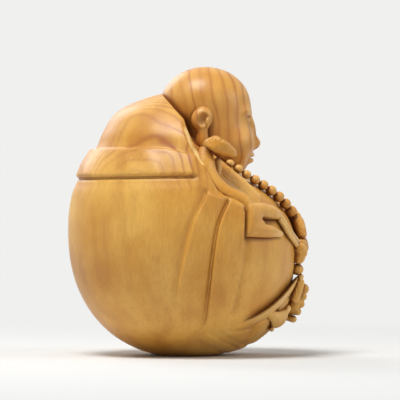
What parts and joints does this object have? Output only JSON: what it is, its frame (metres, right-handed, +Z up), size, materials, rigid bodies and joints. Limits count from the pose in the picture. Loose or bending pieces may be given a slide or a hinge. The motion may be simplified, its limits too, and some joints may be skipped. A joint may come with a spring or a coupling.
{
  "type": "seated monk figurine",
  "caption": "Small ball-shaped carved wood figurine of a seated, pot-bellied laughing monk in an open robe, holding a cloud-topped sceptre and an ingot.",
  "frame": {"origin": "middle of the flat that the figurine rests on", "axes": "+Z up; the figure faces -Y and its right side is -X"},
  "size_m": [0.0492, 0.0502, 0.06],
  "materials": {
    "robe_wood": "satin, hand polished",
    "skin_wood": "satin, hand polished",
    "ornament_wood": "satin, hand polished"
  },
  "bodies": {
    "root": {"robe_block": "robe_wood", "shoulder_band": "robe_wood", "right_sleeve": "robe_wood", "left_sleeve": "robe_wood", "right_lapel": "robe_wood", "left_lapel": "robe_wood", "lap_cloth": "robe_wood", "hem_band": "robe_wood", "left_forearm": "robe_wood", "left_cuff": "robe_wood", "torso": "skin_wood", "head": "skin_wood", "right_hand": "skin_wood", "left_hand": "skin_wood", "left_foot": "skin_wood", "right_foot": "skin_wood", "ingot": "ornament_wood", "sceptre_shaft": "ornament_wood", "sceptre_cloud": "ornament_wood", "strand_outer": "ornament_wood", "strand_inner": "ornament_wood", "strand_knot": "ornament_wood", "pendant_bead": "ornament_wood", "tassel": "ornament_wood", "right_bead_1": "ornament_wood", "right_bead_2": "ornament_wood", "right_bead_3": "ornament_wood", "right_bead_4": "ornament_wood", "right_bead_5": "ornament_wood", "right_bead_6": "ornament_wood", "right_bead_7": "ornament_wood", "right_bead_8": "ornament_wood", "left_bead_1": "ornament_wood", "left_bead_2": "ornament_wood", "left_bead_3": "ornament_wood", "left_bead_4": "ornament_wood", "left_bead_5": "ornament_wood", "left_bead_6": "ornament_wood", "left_bead_7": "ornament_wood", "left_bead_8": "ornament_wood", "middle_bead": "ornament_wood"}
  },
  "joints": []
}
